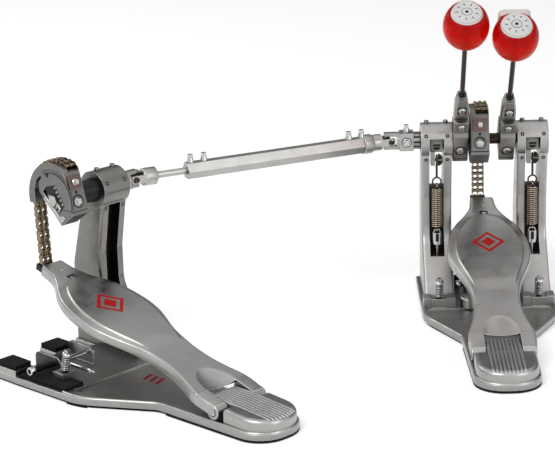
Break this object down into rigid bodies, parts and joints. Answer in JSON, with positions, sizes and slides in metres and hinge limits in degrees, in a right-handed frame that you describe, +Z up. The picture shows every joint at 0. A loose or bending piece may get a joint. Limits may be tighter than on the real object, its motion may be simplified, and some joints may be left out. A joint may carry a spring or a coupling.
{
  "type": "double bass drum pedal",
  "caption": "Double bass drum pedal: cast posts and footboards on low base plates, chain cams, sprung ball beaters and a telescoping universal-joint shaft to the slave pedal.",
  "frame": {"origin": "on the floor below the main pedal's shaft, midway between its posts", "axes": "+X to the right along the main shaft, +Y towards the drum, +Z up"},
  "size_m": [0.5789, 0.4534, 0.3446],
  "materials": {
    "cast_aluminium": "satin grey",
    "grey_alloy": "bead blasted warm grey",
    "pale_aluminium": "matt anodised",
    "dark_steel": "blackened",
    "bright_steel": "polished plate",
    "bronze_chain": "bronze plated",
    "spring_wire": "drawn wire",
    "black_rubber": "ribbed",
    "red_plastic": "tinted, glossy",
    "white_plastic": "satin",
    "cream_felt": "pressed felt"
  },
  "bodies": {
    "main_frame": {"main_base_plate": "cast_aluminium", "main_rubber": "black_rubber", "main_heel_plate": "cast_aluminium", "main_left_post": "cast_aluminium", "main_right_post": "cast_aluminium", "main_bearings": "dark_steel", "main_fasteners": "bright_steel", "spring_anchors": "bright_steel", "left_return_spring": "spring_wire", "right_return_spring": "spring_wire", "main_spur_springs": "spring_wire"},
    "main_drive": {"main_shaft": "dark_steel", "main_cam": "grey_alloy", "main_chain_wrap": "bronze_chain", "right_beater_hub": "grey_alloy", "main_drive_screws": "bright_steel", "right_rocker": "grey_alloy"},
    "right_beater": {"right_beater_rod": "dark_steel", "right_beater_head": "red_plastic", "right_beater_cap": "white_plastic", "right_beater_pad": "cream_felt"},
    "main_chain": {"main_chain_run": "bronze_chain"},
    "main_footboard": {"main_footboard": "cast_aluminium", "main_toe_clip": "grey_alloy"},
    "right_spring_link": {"right_spring_link": "bright_steel"},
    "left_drive": {"left_sleeve": "pale_aluminium", "left_beater_hub": "grey_alloy", "left_drive_screws": "bright_steel", "left_rocker": "grey_alloy", "drive_cross_main": "dark_steel"},
    "left_beater": {"left_beater_rod": "dark_steel", "left_beater_head": "red_plastic", "left_beater_cap": "white_plastic", "left_beater_pad": "cream_felt"},
    "left_spring_link": {"left_spring_link": "bright_steel"},
    "main_left_spur": {"main_left_spur": "bright_steel"},
    "main_right_spur": {"main_right_spur": "bright_steel"},
    "main_clamp_lever": {"main_clamp_lever": "bright_steel"},
    "main_clamp_screw": {"main_clamp_screw": "bright_steel"},
    "drive_tube": {"drive_tube": "pale_aluminium", "drive_tube_screws": "bright_steel"},
    "slave_frame": {"slave_base_plate": "cast_aluminium", "slave_rubber": "black_rubber", "slave_heel_plate": "cast_aluminium", "slave_post": "cast_aluminium", "slave_bearings": "dark_steel", "slave_fasteners": "bright_steel", "slave_spur_springs": "spring_wire"},
    "slave_drive": {"slave_shaft": "pale_aluminium", "slave_cam": "grey_alloy", "slave_chain_wrap": "bronze_chain", "slave_drive_screws": "bright_steel", "drive_cross_slave": "dark_steel"},
    "slave_chain": {"slave_chain_run": "bronze_chain"},
    "slave_footboard": {"slave_footboard": "cast_aluminium", "slave_toe_clip": "grey_alloy"},
    "slave_left_spur": {"slave_left_spur": "bright_steel"},
    "slave_clamp_lever": {"slave_clamp_lever": "bright_steel"},
    "slave_clamp_screw": {"slave_clamp_screw": "bright_steel"},
    "drive_rod": {"drive_rod": "pale_aluminium"}
  },
  "joints": [
    {"name": "main_drive_turn", "type": "hinge", "parent": "main_frame", "child": "main_drive", "pos_m": [0, 0, 0.1755], "axis": [-1, 0, 0], "range_deg": [0, 42], "stiffness_Nm_per_rad": 0.6, "springref_deg": -34.38},
    {"name": "left_drive_turn", "type": "hinge", "parent": "main_frame", "child": "left_drive", "pos_m": [0, 0, 0.1755], "axis": [-1, 0, 0], "range_deg": [0, 42], "stiffness_Nm_per_rad": 0.6, "springref_deg": -34.38},
    {"name": "right_beater_height", "type": "slide", "parent": "main_drive", "child": "right_beater", "axis": [0, -0.6018, 0.7986], "range_m": [-0.005, 0.015]},
    {"name": "right_link_pull", "type": "slide", "parent": "main_frame", "child": "right_spring_link", "axis": [0, -0.598, 0.8015], "range_m": [0, 0.01661], "deforming": ["right_return_spring"]},
    {"name": "left_beater_height", "type": "slide", "parent": "left_drive", "child": "left_beater", "axis": [0, -0.5446, 0.8387], "range_m": [-0.005, 0.015]},
    {"name": "left_link_pull", "type": "slide", "parent": "main_frame", "child": "left_spring_link", "axis": [0, -0.598, 0.8015], "range_m": [0, 0.01661], "deforming": ["left_return_spring"]},
    {"name": "main_footboard_hinge", "type": "hinge", "parent": "main_frame", "child": "main_footboard", "pos_m": [0, -0.23682, 0.0181], "axis": [-1, 0, 0], "range_deg": [0, 6]},
    {"name": "main_chain_bend", "type": "hinge", "parent": "main_drive", "child": "main_chain", "pos_m": [-0.0036, 0.03779, 0.17153], "axis": [1, 0, 0], "range_deg": [0, 58]},
    {"name": "main_left_spur_height", "type": "slide", "parent": "main_frame", "child": "main_left_spur", "axis": [0, -0.2756, 0.9613], "range_m": [-0.005, 0.006], "deforming": ["main_spur_springs"]},
    {"name": "main_right_spur_height", "type": "slide", "parent": "main_frame", "child": "main_right_spur", "axis": [0, -0.2756, 0.9613], "range_m": [-0.005, 0.006], "deforming": ["main_spur_springs"]},
    {"name": "main_clamp_lever_hinge", "type": "hinge", "parent": "main_frame", "child": "main_clamp_lever", "pos_m": [-0.021, -0.026, 0.02], "axis": [-1, 0, 0], "range_deg": [-8, 25]},
    {"name": "main_clamp_screw_turn", "type": "hinge", "parent": "main_frame", "child": "main_clamp_screw", "pos_m": [-0.021, -0.026, 0.02], "axis": [1, 0, 0], "continuous": true},
    {"name": "shaft_length", "type": "slide", "parent": "main_frame", "child": "slave_frame", "axis": [-0.9048, -0.4258, 0], "range_m": [-0.025, 0.035]},
    {"name": "slave_drive_turn", "type": "hinge", "parent": "slave_frame", "child": "slave_drive", "pos_m": [-0.43084, -0.18831, 0.1755], "axis": [-0.7022, -0.712, 0], "range_deg": [0, 43]},
    {"name": "slave_footboard_hinge", "type": "hinge", "parent": "slave_frame", "child": "slave_footboard", "pos_m": [-0.26222, -0.35459, 0.0181], "axis": [-0.7022, -0.712, 0], "range_deg": [0, 6]},
    {"name": "slave_chain_bend", "type": "hinge", "parent": "slave_drive", "child": "slave_chain", "pos_m": [-0.46027, -0.16434, 0.17153], "axis": [0.7022, 0.712, 0], "range_deg": [0, 58]},
    {"name": "slave_left_spur_height", "type": "slide", "parent": "slave_frame", "child": "slave_left_spur", "axis": [0.1963, -0.1935, 0.9613], "range_m": [-0.005, 0.006], "deforming": ["slave_spur_springs"]},
    {"name": "slave_clamp_lever_hinge", "type": "hinge", "parent": "slave_frame", "child": "slave_clamp_lever", "pos_m": [-0.44427, -0.23896, 0.02], "axis": [-0.7022, -0.712, 0], "range_deg": [-8, 25]},
    {"name": "slave_clamp_screw_turn", "type": "hinge", "parent": "slave_frame", "child": "slave_clamp_screw", "pos_m": [-0.44427, -0.23896, 0.02], "axis": [0.7022, 0.712, 0], "continuous": true},
    {"name": "drive_tube_turn", "type": "hinge", "parent": "main_frame", "child": "drive_tube", "pos_m": [-0.103, 0, 0.1755], "axis": [-0.9048, -0.4258, 0], "range_deg": [0, 43]},
    {"name": "drive_rod_turn", "type": "hinge", "parent": "slave_frame", "child": "drive_rod", "pos_m": [-0.36821, -0.1248, 0.1755], "axis": [-0.9048, -0.4258, 0], "range_deg": [0, 43]}
  ],
  "couplings": [
    {"joint": "right_link_pull", "follows": "main_drive_turn", "m_per_rad": 0.021972},
    {"joint": "left_link_pull", "follows": "left_drive_turn", "m_per_rad": 0.021972},
    {"joint": "main_footboard_hinge", "follows": "main_drive_turn", "ratio": 0.1319},
    {"joint": "main_chain_bend", "follows": "main_drive_turn", "ratio": 1.3218},
    {"joint": "slave_drive_turn", "follows": "left_drive_turn", "ratio": 1},
    {"joint": "slave_footboard_hinge", "follows": "left_drive_turn", "ratio": 0.1319},
    {"joint": "slave_chain_bend", "follows": "left_drive_turn", "ratio": 1.3218},
    {"joint": "drive_tube_turn", "follows": "left_drive_turn", "ratio": 1},
    {"joint": "drive_rod_turn", "follows": "left_drive_turn", "ratio": 1}
  ]
}
